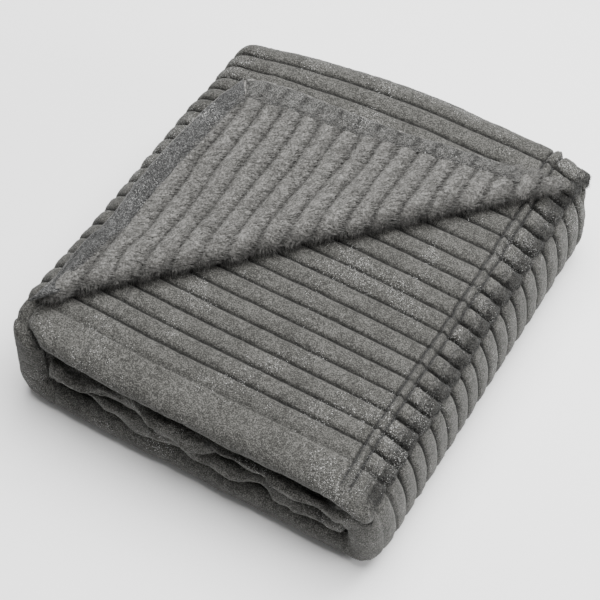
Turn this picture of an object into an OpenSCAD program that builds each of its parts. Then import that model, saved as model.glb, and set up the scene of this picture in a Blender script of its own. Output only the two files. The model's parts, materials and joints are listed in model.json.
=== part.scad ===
// Ribbed plush throw, folded in half twice front to back, then letter-folded
// into thirds left to right, with one top corner turned back on the diagonal.
// Millimetres, +Z up. Front (open ends of the cloth) faces -Y.

/* [Stack] */
// Width of the folded throw, left to right
stack_w = 368; // [350:1:390]
// Length of the folded throw, front to back
stack_l = 388; // [370:1:410]
// Height of one third, which is four plies of cloth
third_h = 42; // [38:0.5:44]
// How far the side folds reach in from each side
fold_w = 36; // [30:1:42]
// Squareness of the side folds (2 is an ellipse)
fold_n = 2.6; // [2:0.1:3.5]

/* [Cloth] */
// Height of one rib above its grooves
rib_h = 2.4; // [0.5:0.1:3]
// Ribs along the length of the folded throw
rib_count = 21; // [18:1:24]
// Gap left between neighbouring plies
ply_gap = 0.3; // [0.1:0.05:0.5]

/* [Turned corner] */
// How far the diagonal fold sits behind the middle of the stack
diag_y = -1; // [-6:1:10]
// Slope of the diagonal fold
diag_slope = 0.975; // [0.95:0.005:1]
// Thickness of the turned-back corner
flap_t = 9.6; // [8:0.1:10]
// Reach of the roll of cloth along the diagonal fold
roll_w = 12; // [8:1:16]

/* [Hems] */
// Width of the turned hem
hem_w = 18; // [14:1:22]
// Thread thickness of the hem stitching
thread_d = 1.2; // [0.8:0.1:1.6]

/* [Hidden] */
xl = -stack_w / 2;
xr = stack_w / 2;
yf = -stack_l / 2;
yb = stack_l / 2;
ply = third_h / 4;
z_in = third_h + 0.4;            // underside of the inner third
z_in_top = z_in + third_h;       // top of the inner third
z_top = z_in_top + 0.9;          // underside of the top third
z_face = z_top + third_h;        // top of the face ply
z_flap = z_face + 0.5;           // underside of the turned-back corner
cl = xl + fold_w;                // where the left fold meets the thirds
cr = xr - fold_w;                // where the right fold meets them
turn_gap = 1.8;                  // room for the left fold to turn past the bottom third
x_hem = 152;                     // where the plies of the top third meet their side hems
x_end = cl + 10;                 // free end of the inner third
back_r = 20;                     // rounding of the outer back loop
pitch = stack_l / rib_count;
y_hem = yf + 2.3;                 // front edge of the two hemmed plies
y_loop = yf + 16;                // centre of the front loop of plies three and four
y_back = yb - back_r;            // where the plies turn into the back loops

// Corner of a side fold: k is the ply depth from the outside, 0 to 4
function se(a) = [pow(sin(a), 2 / fold_n), pow(cos(a), 2 / fold_n)];
function lbend(k) = concat(
    [for (a = [0 : 15 : 90]) [cl - fold_w * (1 - k / 4) * se(a)[0], third_h - third_h * (1 - k / 4) * se(a)[1]]],
    [for (a = [90 : -15 : 0]) [cl - fold_w * (1 - k / 4) * se(a)[0], z_top + third_h * (1 - k / 4) * se(a)[1]]]);
function rbend(k) = concat(
    [for (a = [0 : 15 : 90]) [cr + fold_w * (1 - k / 4) * se(a)[0], third_h - third_h * (1 - k / 4) * se(a)[1]]],
    [for (a = [90 : -15 : 0]) [cr + fold_w * (1 - k / 4) * se(a)[0], z_in + third_h * (1 - k / 4) * se(a)[1]]]);
// Runs of the two bent parts of the stack, as [x, z] along the cloth
function lpath(k) = lbend(k);
function upath(k) = concat([[cl + turn_gap, third_h * k / 4]], rbend(k), [[x_end, z_in_top - third_h * k / 4]]);
function path(w, k) = w == "left" ? lpath(k) : upath(k);

// A flat cross-section in [y, k], run straight across the top third
module across(sec, x1 = x_hem) {
    translate([cl + ply_gap, 0, 0]) rotate([90, 0, 90]) linear_extrude(x1 - cl - ply_gap)
        polygon([for (p = sec) [p[0], z_face - third_h * p[1] / 4]]);
}

function rev(v) = [for (i = [len(v) - 1 : -1 : 0]) v[i]];

// A closed cross-section in [y, k], carried along one run of the cloth. A bowed
// section, an outer chain of points and then an inner one, is capped in strips.
module carry(w, sec, bowed = false) {
    rings = [for (p = sec) path(w, p[1])];
    m = len(sec);
    n = len(rings[0]);
    pts = [for (i = [0 : n - 1]) for (j = [0 : m - 1]) [rings[j][i][0], sec[j][0], rings[j][i][1]]];
    quads = [for (i = [0 : n - 2]) for (j = [0 : m - 1]) let (a = i * m + j, b = i * m + (j + 1) % m)
        each [[a, b, b + m], [a, b + m, a + m]]];
    near = bowed ? [for (j = [0 : m / 2 - 2]) [m - 1 - j, m - 2 - j, j + 1, j]] : [rev([for (j = [0 : m - 1]) j])];
    far = [for (f = near) rev([for (j = f) (n - 1) * m + j])];
    caps = concat(near, far);
    polyhedron(points = pts, faces = w == "left" ? [for (f = concat(quads, caps)) f] : concat([for (f = quads) rev(f)], [for (f = caps) rev(f)]), convexity = 6);
}

// One ply between depths k0 and k1, flat
function flat_sec(k0, k1, y0, y1) = [[y0, k0 + ply_gap / ply], [y1, k0 + ply_gap / ply], [y1, k1], [y0, k1]];
// One ply whose outer side is ribbed; the ribs run with the cloth
function rib_sec(k0, k1, y0, y1) = concat(
    [for (i = [0 : 1 : floor((y1 - y0) / pitch) - 1]) for (q = [0 : 3])
        [y0 + (i + q / 4) * pitch, k0 + rib_h / ply * (1 - [0, 0.8, 1, 0.8][q])]],
    [[y1, k0 + rib_h / ply], [y1, k1], [y0, k1]]);
// Back loop that joins two plies either side of depth kc, round an open core
function loop_k(kc, ko, ki, a) = kc + (a < 0 ? ko : ki) * sin(a);
function loop_sec(kc, ko, ki, hole, ro, ri) = concat(
    [for (a = [-90 : 30 : 90]) [y_back + ply_gap + ro * cos(a), loop_k(kc, ko, ki, a)]],
    [for (a = [90 : -30 : -90]) [y_back + ply_gap + ri * cos(a), loop_k(kc, hole, hole, a)]]);
function solid_loop(kc, ko, ro) = [for (a = [-90 : 22.5 : 90]) [y_back + ply_gap + ro * cos(a), kc + ko * sin(a)]];
function front_loop(kc, ko, ro) = [for (a = [90 : 22.5 : 270]) [y_loop - ply_gap + ro * cos(a), kc + ko * sin(a)]];
function hem_sec(kc) = [for (a = [90 : 30 : 270]) [y_hem + 6 - ply_gap + 8 * cos(a), kc + 0.46 * sin(a)]];

// ---- bottom third, right fold and inner third ----
module wrap_face_ply() { color([0.36, 0.36, 0.35]) carry("wrap", [[y_hem + 6, 0], [y_back, 0], [y_back, 1], [y_hem + 6, 1]]); }
module wrap_second_ply() { color([0.42, 0.42, 0.41]) carry("wrap", flat_sec(1, 2, y_hem + 6, y_back)); }
module wrap_third_ply() { color([0.36, 0.38, 0.4]) carry("wrap", flat_sec(2, 3, y_loop, y_back)); }
module wrap_fourth_ply() { color([0.44, 0.44, 0.4]) carry("wrap", flat_sec(3, 3.98, y_loop, y_back)); }
module wrap_outer_back_loop() { color([0.33, 0.34, 0.36]) carry("wrap", loop_sec(2, 1.95, 1.7, 1.03, back_r - ply_gap, back_r / 2 + 0.4), true); }
module wrap_inner_back_loop() { color([0.5, 0.48, 0.46]) carry("wrap", solid_loop(2, 0.98, back_r / 2)); }
module wrap_front_loop() { color([0.5, 0.48, 0.46]) carry("wrap", front_loop(3.02, 0.92, 12)); }
module wrap_face_front_hem() { color([0.28, 0.28, 0.28]) carry("wrap", hem_sec(0.52)); }
module wrap_second_front_hem() { color([0.31, 0.31, 0.31]) carry("wrap", hem_sec(1.52)); }
// Four hemmed ends of the inner third, one over the other, with a rounded free edge
module wrap_end_hem() {
    color([0.3, 0.3, 0.3])
    translate([x_end - ply_gap, y_hem + 6, 0]) rotate([-90, 0, 0])
        linear_extrude(y_back - y_hem - 6)
            for (k = [0 : 3]) translate([0, -(z_in + (k + 0.5) * ply)])
                intersection() { circle(r = ply / 2 - 0.1, $fn = 24); translate([-ply, -ply]) square([ply, 2 * ply]); }
}

// ---- left fold ----
module left_face_ply() { color([0.36, 0.36, 0.35]) carry("left", [[y_hem + 6, 0], [y_back, 0], [y_back, 1], [y_hem + 6, 1]]); }
module left_second_ply() { color([0.42, 0.42, 0.41]) carry("left", flat_sec(1, 2, y_hem + 6, y_back)); }
module left_third_ply() { color([0.36, 0.38, 0.4]) carry("left", flat_sec(2, 3, y_loop, y_back)); }
module left_fourth_ply() { color([0.44, 0.44, 0.4]) carry("left", flat_sec(3, 3.9, y_loop, y_back)); }
module left_outer_back_loop() { color([0.33, 0.34, 0.36]) carry("left", loop_sec(2, 1.95, 1.6, 1.03, back_r - ply_gap, back_r / 2 + 0.4), true); }
module left_inner_back_loop() { color([0.5, 0.48, 0.46]) carry("left", solid_loop(2, 0.98, back_r / 2)); }
module left_front_loop() { color([0.5, 0.48, 0.46]) carry("left", front_loop(2.98, 0.88, 12)); }
module left_face_front_hem() { color([0.28, 0.28, 0.28]) carry("left", hem_sec(0.52)); }
module left_second_front_hem() { color([0.31, 0.31, 0.31]) carry("left", hem_sec(1.52)); }

// ---- top third ----
// Everything behind the diagonal fold, moved back by d
module behind(d) {
    linear_extrude(400, center = false)
        polygon([[xl - 50, diag_slope * (xl - 50) + diag_y + d], [xr + 50, diag_slope * (xr + 50) + diag_y + d], [xr + 50, yb + 60], [xl - 50, yb + 60]]);
}
module top_face_ply() {
    color([0.4, 0.4, 0.38]) intersection() {
        across(rib_sec(0, 1, y_hem + 6, y_back));
        behind(roll_w * 1.4);
    }
}
module top_second_ply() { color([0.46, 0.46, 0.45]) across(rib_sec(1 + ply_gap / ply, 2, y_hem + 6, y_back)); }
module top_third_ply() { color([0.36, 0.38, 0.4]) across(flat_sec(2, 3, y_loop, y_back)); }
module top_fourth_ply() { color([0.44, 0.44, 0.4]) across(flat_sec(3, 4, y_loop, y_back)); }
module top_outer_back_loop() { color([0.33, 0.34, 0.36]) across(loop_sec(2, 2, 2, 1.02, back_r - ply_gap, back_r / 2 + 0.4)); }
module top_inner_back_loop() { color([0.5, 0.48, 0.46]) across(solid_loop(2, 0.98, back_r / 2)); }
module top_front_loop() { color([0.5, 0.48, 0.46]) across(front_loop(3.03, 0.94, 12)); }
module top_second_front_hem() { color([0.31, 0.31, 0.31]) across(hem_sec(1.53)); }
// A side hem: cloth turned under, with a rib bump across it at each rib
module side_hem(x0, z0, z1, y0, y1) {
    n = floor((y1 - y0) / pitch);
    translate([x0 + ply_gap, 0, 0]) rotate([90, 0, 90]) linear_extrude(hem_w - ply_gap)
        polygon(concat([for (i = [0 : n - 1]) for (q = [0 : 3])
            [y0 + (i + q / 4) * pitch, z1 - 2 * (1 - [0, 0.8, 1, 0.8][q])]],
            [[y0 + n * pitch, z1 - 2], [y1, z1 - 2.4], [y1, z0], [y0, z0]]));
}
module top_face_side_hem() {
    color([0.3, 0.3, 0.3]) intersection() {
        side_hem(x_hem, z_face - ply + ply_gap, z_face - 1.4, y_back - 26, y_back - ply_gap);
        behind(roll_w * 1.4);
    }
}
module top_second_side_hem() { color([0.3, 0.3, 0.32]) side_hem(x_hem, z_face - 2 * ply + ply_gap, z_face - ply - 1.6, y_hem + 2, y_back); }
module top_lower_side_hem() { color([0.27, 0.27, 0.28]) {
    side_hem(x_hem, z_top, z_top + ply - 1.6, y_loop, y_back);
    side_hem(x_hem, z_top + ply + ply_gap, z_top + 2 * ply - 1.6, y_loop, y_back);
} }
// Two runs of stitching beside the second ply's hem
module side_hem_stitching() {
    color([0.2, 0.2, 0.2])
    for (x = [x_hem - 3.4, x_hem - 6.4])
        translate([x, y_hem + 10, z_face - ply + thread_d / 2 + 0.05]) rotate([-90, 0, 0]) cylinder(d = thread_d, h = y_back - y_hem - 38, $fn = 16);
}

// ---- turned-back corner ----
// Corners of the flap, left front, left back and right back, on the fold line at each end
fl_a = [cl + 3, diag_slope * (cl + 3) + diag_y];
fl_c = [-128, 127];
fl_b = [146, diag_slope * 146 + diag_y];
fl_n = [-diag_slope, 1] / sqrt(1 + diag_slope * diag_slope);
fl_u = [1, diag_slope] / sqrt(1 + diag_slope * diag_slope);
diag_a = atan(diag_slope);
module flap_outline(inset) {
    polygon([fl_a + roll_w * fl_n + fl_u * inset * 1.5, fl_c + [inset, -inset], fl_b + roll_w * fl_n - fl_u * inset * 1.5]);
}
module corner_flap() {
    n = floor(stack_w / pitch) - 1;
    color([0.55, 0.55, 0.54]) intersection() {
        translate([0, 0, z_flap]) linear_extrude(flap_t + 1) flap_outline(hem_w);
        translate([0, yb, 0]) rotate([90, 0, 0]) linear_extrude(stack_l)
            polygon(concat([for (i = [0 : n - 1]) for (q = [0 : 3])
                [xl + (i + q / 4) * pitch, z_flap + flap_t - rib_h * (1 - [0, 0.8, 1, 0.8][q])]],
                [[xl + n * pitch, z_flap + flap_t - rib_h], [xl + n * pitch, z_flap], [xl, z_flap]]));
    }
}
module corner_fold_roll() {
    color([0.5, 0.5, 0.5]) intersection() {
        translate([fl_a[0], fl_a[1], z_face + 0.25]) rotate([0, 0, diag_a]) rotate([90, 0, 90])
            linear_extrude(norm(fl_b - fl_a))
                polygon([for (a = [90 : 15 : 270]) [roll_w - 0.4 + roll_w * cos(a), (flap_t + 0.2) * sin(a)]]);
        translate([cl + 3 * ply_gap, -stack_l, z_top]) cube([stack_w, 2 * stack_l, stack_l]);
    }
}
// Hem of the flap: what lies between the outline and the cloth inside it
module flap_hem(p, q, r, s) {
    translate([0, 0, z_flap]) linear_extrude(flap_t - 1.6) polygon([p, q, r, s]);
}
module corner_front_hem() {
    color([0.3, 0.3, 0.3]) flap_hem(fl_a + roll_w * fl_n, fl_c, fl_c + [hem_w - 0.3, -hem_w], fl_a + roll_w * fl_n + fl_u * (hem_w * 1.5 - 0.6));
}
module corner_side_hem() {
    color([0.3, 0.3, 0.32]) flap_hem(fl_c + [0.3, 0], fl_b + roll_w * fl_n, fl_b + roll_w * fl_n - fl_u * (hem_w * 1.5 - 0.6), fl_c + [hem_w + 0.3, -hem_w + 0.3]);
}
module stitch_run(p, q) {
    d = (q - p) / norm(q - p);
    translate([p[0], p[1], z_flap + flap_t - 1.6 + thread_d / 2 + 0.05])
        rotate([0, 0, atan2(d[1], d[0])]) rotate([0, 90, 0]) cylinder(d = thread_d, h = norm(q - p), $fn = 16);
}
module corner_hem_stitching() {
    color([0.2, 0.2, 0.2]) {
        stitch_run(fl_a + (roll_w + 1.5) * fl_n + fl_u * hem_w * 1.15, fl_c + [hem_w - 5, -hem_w - 4]);
        stitch_run(fl_c + [hem_w + 4, -hem_w + 5], fl_b + (roll_w + 1.5) * fl_n - fl_u * hem_w * 1.15);
    }
}

wrap_face_ply();
wrap_second_ply();
wrap_third_ply();
wrap_fourth_ply();
wrap_outer_back_loop();
wrap_inner_back_loop();
wrap_front_loop();
wrap_face_front_hem();
wrap_second_front_hem();
wrap_end_hem();
left_face_ply();
left_second_ply();
left_third_ply();
left_fourth_ply();
left_outer_back_loop();
left_inner_back_loop();
left_front_loop();
left_face_front_hem();
left_second_front_hem();
top_face_ply();
top_second_ply();
top_third_ply();
top_fourth_ply();
top_outer_back_loop();
top_inner_back_loop();
top_front_loop();
top_second_front_hem();
top_face_side_hem();
top_second_side_hem();
top_lower_side_hem();
side_hem_stitching();
corner_flap();
corner_fold_roll();
corner_side_hem();
corner_front_hem();
corner_hem_stitching();
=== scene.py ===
import sys
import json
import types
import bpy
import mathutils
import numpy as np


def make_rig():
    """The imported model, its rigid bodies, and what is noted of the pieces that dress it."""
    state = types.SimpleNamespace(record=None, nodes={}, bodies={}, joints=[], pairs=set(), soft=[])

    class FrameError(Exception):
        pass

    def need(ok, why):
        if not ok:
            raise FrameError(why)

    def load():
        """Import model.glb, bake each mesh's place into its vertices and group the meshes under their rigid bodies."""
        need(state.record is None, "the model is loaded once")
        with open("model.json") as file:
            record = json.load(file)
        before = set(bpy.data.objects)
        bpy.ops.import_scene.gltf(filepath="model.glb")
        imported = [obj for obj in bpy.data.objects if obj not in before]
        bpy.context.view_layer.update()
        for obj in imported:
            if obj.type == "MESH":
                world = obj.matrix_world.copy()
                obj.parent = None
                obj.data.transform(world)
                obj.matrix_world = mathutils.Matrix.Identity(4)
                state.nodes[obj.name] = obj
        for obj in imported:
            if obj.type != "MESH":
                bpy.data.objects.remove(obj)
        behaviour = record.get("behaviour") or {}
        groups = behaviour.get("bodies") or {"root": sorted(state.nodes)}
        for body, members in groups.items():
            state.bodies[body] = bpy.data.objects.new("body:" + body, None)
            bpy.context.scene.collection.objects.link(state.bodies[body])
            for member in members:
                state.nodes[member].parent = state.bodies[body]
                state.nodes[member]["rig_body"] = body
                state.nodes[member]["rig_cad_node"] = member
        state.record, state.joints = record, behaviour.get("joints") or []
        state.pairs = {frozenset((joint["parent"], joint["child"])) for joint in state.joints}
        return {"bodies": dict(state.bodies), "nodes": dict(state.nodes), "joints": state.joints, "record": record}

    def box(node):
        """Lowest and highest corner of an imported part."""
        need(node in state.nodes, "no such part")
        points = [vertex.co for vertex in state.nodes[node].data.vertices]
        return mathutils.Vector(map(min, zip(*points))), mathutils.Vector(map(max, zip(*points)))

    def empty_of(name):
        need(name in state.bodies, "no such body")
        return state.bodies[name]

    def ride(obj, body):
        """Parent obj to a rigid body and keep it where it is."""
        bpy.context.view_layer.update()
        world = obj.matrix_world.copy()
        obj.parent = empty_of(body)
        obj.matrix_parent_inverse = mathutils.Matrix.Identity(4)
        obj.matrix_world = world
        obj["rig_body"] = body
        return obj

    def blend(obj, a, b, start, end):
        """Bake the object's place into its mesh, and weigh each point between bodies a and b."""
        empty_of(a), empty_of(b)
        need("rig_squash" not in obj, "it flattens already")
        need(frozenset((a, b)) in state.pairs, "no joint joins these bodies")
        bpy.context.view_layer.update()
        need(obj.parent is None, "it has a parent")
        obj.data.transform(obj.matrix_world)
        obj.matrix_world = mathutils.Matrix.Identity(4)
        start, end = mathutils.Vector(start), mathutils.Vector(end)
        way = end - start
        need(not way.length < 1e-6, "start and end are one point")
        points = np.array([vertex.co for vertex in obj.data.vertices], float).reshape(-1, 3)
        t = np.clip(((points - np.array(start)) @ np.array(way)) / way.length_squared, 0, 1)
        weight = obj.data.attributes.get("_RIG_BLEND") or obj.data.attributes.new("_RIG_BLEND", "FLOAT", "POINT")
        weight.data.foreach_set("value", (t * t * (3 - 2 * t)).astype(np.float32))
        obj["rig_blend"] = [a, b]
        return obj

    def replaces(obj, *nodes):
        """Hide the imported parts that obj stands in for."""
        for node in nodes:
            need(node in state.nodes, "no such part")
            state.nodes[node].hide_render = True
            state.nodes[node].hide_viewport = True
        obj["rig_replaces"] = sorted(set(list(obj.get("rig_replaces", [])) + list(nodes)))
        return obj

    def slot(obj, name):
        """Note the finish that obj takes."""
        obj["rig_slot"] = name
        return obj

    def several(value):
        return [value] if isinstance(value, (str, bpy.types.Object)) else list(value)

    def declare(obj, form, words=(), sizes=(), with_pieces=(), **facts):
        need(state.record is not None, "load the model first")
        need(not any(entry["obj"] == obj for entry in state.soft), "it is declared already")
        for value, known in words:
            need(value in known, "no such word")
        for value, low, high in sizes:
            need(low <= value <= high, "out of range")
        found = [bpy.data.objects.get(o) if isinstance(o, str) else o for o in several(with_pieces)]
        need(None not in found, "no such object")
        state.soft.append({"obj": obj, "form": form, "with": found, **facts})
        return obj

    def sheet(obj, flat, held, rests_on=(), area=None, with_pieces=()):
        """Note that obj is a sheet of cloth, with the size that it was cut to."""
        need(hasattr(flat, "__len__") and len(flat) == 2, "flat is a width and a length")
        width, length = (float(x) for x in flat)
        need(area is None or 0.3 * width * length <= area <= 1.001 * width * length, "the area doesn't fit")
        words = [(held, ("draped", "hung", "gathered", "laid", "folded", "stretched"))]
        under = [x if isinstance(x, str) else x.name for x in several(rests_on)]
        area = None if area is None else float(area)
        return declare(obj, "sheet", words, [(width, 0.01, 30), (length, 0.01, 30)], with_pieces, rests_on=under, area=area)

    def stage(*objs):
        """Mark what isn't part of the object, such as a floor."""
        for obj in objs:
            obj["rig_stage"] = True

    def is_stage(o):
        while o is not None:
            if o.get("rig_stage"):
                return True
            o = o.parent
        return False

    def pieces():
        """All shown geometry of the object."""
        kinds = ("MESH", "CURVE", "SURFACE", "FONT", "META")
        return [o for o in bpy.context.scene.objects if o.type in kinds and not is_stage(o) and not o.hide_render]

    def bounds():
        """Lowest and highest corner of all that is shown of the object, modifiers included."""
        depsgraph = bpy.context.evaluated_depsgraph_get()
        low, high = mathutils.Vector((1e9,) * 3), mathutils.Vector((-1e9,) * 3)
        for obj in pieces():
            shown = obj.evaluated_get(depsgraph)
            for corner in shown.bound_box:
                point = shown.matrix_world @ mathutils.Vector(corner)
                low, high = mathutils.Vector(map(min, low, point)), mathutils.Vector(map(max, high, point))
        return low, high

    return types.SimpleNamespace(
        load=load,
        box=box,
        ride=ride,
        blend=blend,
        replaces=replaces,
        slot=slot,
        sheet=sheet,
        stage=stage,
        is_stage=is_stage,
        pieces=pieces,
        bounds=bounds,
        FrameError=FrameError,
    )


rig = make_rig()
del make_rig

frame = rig.load()

import json
import math
import bpy
import numpy as np

CAD_LO, CAD_HI = [list(map(float, v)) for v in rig.bounds()]

# ------------------------------------------------------------------ layout, mm
XL, YF = CAD_LO[0] * 1000, CAD_LO[1] * 1000
XR, YB = CAD_HI[0] * 1000, CAD_HI[1] * 1000
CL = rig.box("left_face_ply")[1].x * 1000           # left fold meets the thirds
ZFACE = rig.box("left_face_ply")[1].z * 1000        # top of the face ply
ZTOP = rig.box("top_fourth_ply")[0].z * 1000        # underside of the top third
ZIN = 42.4
ZINTOP = ZIN + 42.0
T = 42.0
PLY = T / 4
FW = CL - XL
CR = XR - FW
XEND = CL + 10
PITCH = 18.2
Y0 = -12.0                                          # a groove between two ribs
THK = 8.6                                           # cloth thickness, pile to pile
N_SE = 2.6
BACK_R = 20.0
YBK = YB - BACK_R - 1
DS, DY = 0.975, -1.0                                # diagonal fold: y = DS x + DY


# ------------------------------------------------------------------ noise
def _hash(ix, iy, iz, seed):
    n = (ix.astype(np.int64) * 374761393 + iy.astype(np.int64) * 668265263 + iz.astype(np.int64) * 1440662683 + seed * 974634777) & 0xFFFFFFFF
    n = ((n ^ (n >> 13)) * 1274126177) & 0xFFFFFFFF
    n = ((n ^ (n >> 16)) * 2246822519) & 0xFFFFFFFF
    return ((n ^ (n >> 15)) & 0xFFFFFF) / float(0xFFFFFF) * 2 - 1


def vnoise(x, y, z, seed=0):
    x, y, z = np.broadcast_arrays(np.asarray(x, float), np.asarray(y, float), np.asarray(z, float))
    ix, iy, iz = np.floor(x), np.floor(y), np.floor(z)
    fx, fy, fz = x - ix, y - iy, z - iz
    fx, fy, fz = [f * f * f * (f * (f * 6 - 15) + 10) for f in (fx, fy, fz)]
    out = 0
    for dx in (0, 1):
        for dy in (0, 1):
            for dz in (0, 1):
                w = (fx if dx else 1 - fx) * (fy if dy else 1 - fy) * (fz if dz else 1 - fz)
                out = out + w * _hash(ix + dx, iy + dy, iz + dz, seed)
    return out


def sstep(x, a, b):
    t = np.clip((np.asarray(x, float) - a) / (b - a), 0, 1)
    return t * t * (3 - 2 * t)


# ------------------------------------------------------------------ cloth runs
def se(a):
    return math.sin(a) ** (2 / N_SE), math.cos(a) ** (2 / N_SE)


def bulge(x, z):
    """The right fold swells up under the edge of the top third."""
    return 18.0 * sstep(x, 128, 158) * sstep(z, 45, 80)


def arc(cx, cz, rx, rz, a0, a1, n=60):
    out = []
    for i in range(n + 1):
        a = math.radians(a0 + (a1 - a0) * i / n)
        s, c = se(min(max(a, 1e-6), math.pi / 2 - 1e-6))
        out.append((cx + rx * s, cz + rz * c))
    return out


def resample(O, I, ds):
    O, I = np.array(O, float), np.array(I, float)
    d = np.hypot(*np.diff(O, axis=0).T)
    keep = np.concatenate([[True], d > 1e-4])
    O, I = O[keep], I[keep]
    s = np.concatenate([[0], np.cumsum(np.hypot(*np.diff(O, axis=0).T))])
    n = max(2, int(round(s[-1] / ds)))
    t = np.linspace(0, s[-1], n + 1)
    return (np.stack([np.interp(t, s, O[:, j]) for j in (0, 1)], 1),
            np.stack([np.interp(t, s, I[:, j]) for j in (0, 1)], 1), t)


XA = CL + 40.0                                       # top third begins here
ZM = 64.0                                            # middle of the left wall
XB = CL + 6.0                                        # bottom third begins here
XTOP = 171.0                                         # hem edge of the top third


def top_fall(x):
    return -9.5 * sstep(x, 138, 174)


def run_top(ds):
    xs = np.linspace(XTOP, XA, 400)
    return resample([(x, ZFACE + top_fall(x)) for x in xs], [(x, ZTOP + top_fall(x)) for x in xs], ds)


XLOW = 120.0                                         # hem edge of the top third's lower plies


def run_toplow(ds):
    xs = np.linspace(XLOW, XA, 200)
    return resample([(x, ZFACE + top_fall(x)) for x in xs], [(x, ZTOP + top_fall(x)) for x in xs], ds)


def run_up(ds):
    O = [(XA, ZFACE)] + [(2 * CL - x, z) for x, z in arc(CL, ZTOP, FW, ZFACE - ZTOP, 0, 90)] + [(XL, ZM)]
    I = [(XA, ZTOP)] + [(CL, ZTOP)] * 61 + [(CL, ZM)]
    return resample(O, I, ds)


def run_low(ds):
    O = [(XL, ZM)] + [(2 * CL - x, T - (z - T)) for x, z in arc(CL, T, FW, T, 90, 0)] + [(XB, 0)]
    I = [(CL, ZM)] + [(CL, T)] * 61 + [(XB, T)]
    return resample(O, I, ds)


def run_wrap(ds):
    O = [(XB, 0), (CR, 0)] + [(x, T - (z - T)) for x, z in arc(CR, T, FW, T, 0, 90)]
    I = [(XB, T), (CR, T)] + [(CR, T)] * 61
    up = arc(CR, ZIN, FW, T, 90, 0)
    O += [(x, z + float(bulge(x, z))) for x, z in up]
    I += [(CR, ZIN)] * 61
    xs = np.linspace(CR, XEND, 200)
    O += [(x, ZINTOP + float(bulge(x, ZINTOP))) for x in xs]
    I += [(x, ZIN) for x in xs]
    return resample(O, I, ds)


LEN = {}
RUN = {}
s_at = 0.0
for _n, _f in (("top", run_top), ("up", run_up), ("low", run_low), ("wrap", run_wrap)):
    LEN[_n] = (s_at, s_at + _f(4.0)[2][-1])
    RUN[_f] = LEN[_n]
    s_at = LEN[_n][1]
RUN[run_toplow] = (LEN["top"][1] - run_toplow(4.0)[2][-1], LEN["top"][1])
S_WALL = (LEN["up"][0] + 70, LEN["low"][1] - 60)
S_RIGHT = LEN["wrap"][0] + (CR - XB) + 60           # middle of the right wall
S_INNER = S_RIGHT + 75                              # inner third begins


# ------------------------------------------------------------------ mesh helpers
def make(name, verts, faces, attrs=None, mats=(), mat_idx=None, smooth=True):
    me = bpy.data.meshes.new(name)
    v = np.asarray(verts, np.float32).reshape(-1, 3) * 0.001
    f = np.asarray(faces, np.int32)
    me.vertices.add(len(v)); me.vertices.foreach_set("co", v.ravel())
    me.loops.add(f.size); me.loops.foreach_set("vertex_index", f.ravel())
    me.polygons.add(len(f))
    k = f.shape[1]
    me.polygons.foreach_set("loop_start", np.arange(len(f), dtype=np.int32) * k)
    me.polygons.foreach_set("loop_total", np.full(len(f), k, np.int32))
    if mat_idx is not None:
        me.polygons.foreach_set("material_index", np.asarray(mat_idx, np.int32))
    me.update(calc_edges=True)
    me.validate()
    if smooth:
        me.polygons.foreach_set("use_smooth", np.ones(len(me.polygons), bool))
    for m in mats:
        me.materials.append(m)
    for key, val in (attrs or {}).items():
        a = me.attributes.new(key, "FLOAT", "POINT")
        a.data.foreach_set("value", np.asarray(val, np.float32).ravel())
    ob = bpy.data.objects.new(name, me)
    bpy.context.scene.collection.objects.link(ob)
    return ob


PH = np.array([0, .04, .085, .15, .27, .42, .58, .73, .85, .915, .96])


def rib_u(a, b, dense=True):
    """Samples along the cloth between a and b, closest together at the grooves."""
    i0, i1 = math.floor((a - Y0) / PITCH) - 1, math.ceil((b - Y0) / PITCH) + 1
    ph = PH if dense else np.array([0, .25, .5, .75])
    u = np.concatenate([Y0 + (i + ph) * PITCH for i in range(i0, i1 + 1)])
    u = u[(u > a + 0.5) & (u < b - 0.5)]
    return np.concatenate([[a], u, [b]])


def rib_h(u, depth=2.6):
    """Height of the cloth's face over its groove line; broad ribs, narrow grooves."""
    d = np.abs((u - Y0) / PITCH - np.round((u - Y0) / PITCH)) * PITCH
    return depth * (1 - np.exp(-(d / 1.9) ** 2)) + 0.9 * (1 - (1 - d / (PITCH / 2)) ** 2) - depth


# Centreline of a ply in the (y, v) plane; v is depth from the outer face, mm
def straight(u0, u1, v, dense=True):
    u = rib_u(u0, u1, dense)
    return u, u.copy(), np.full_like(u, v)


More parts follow.
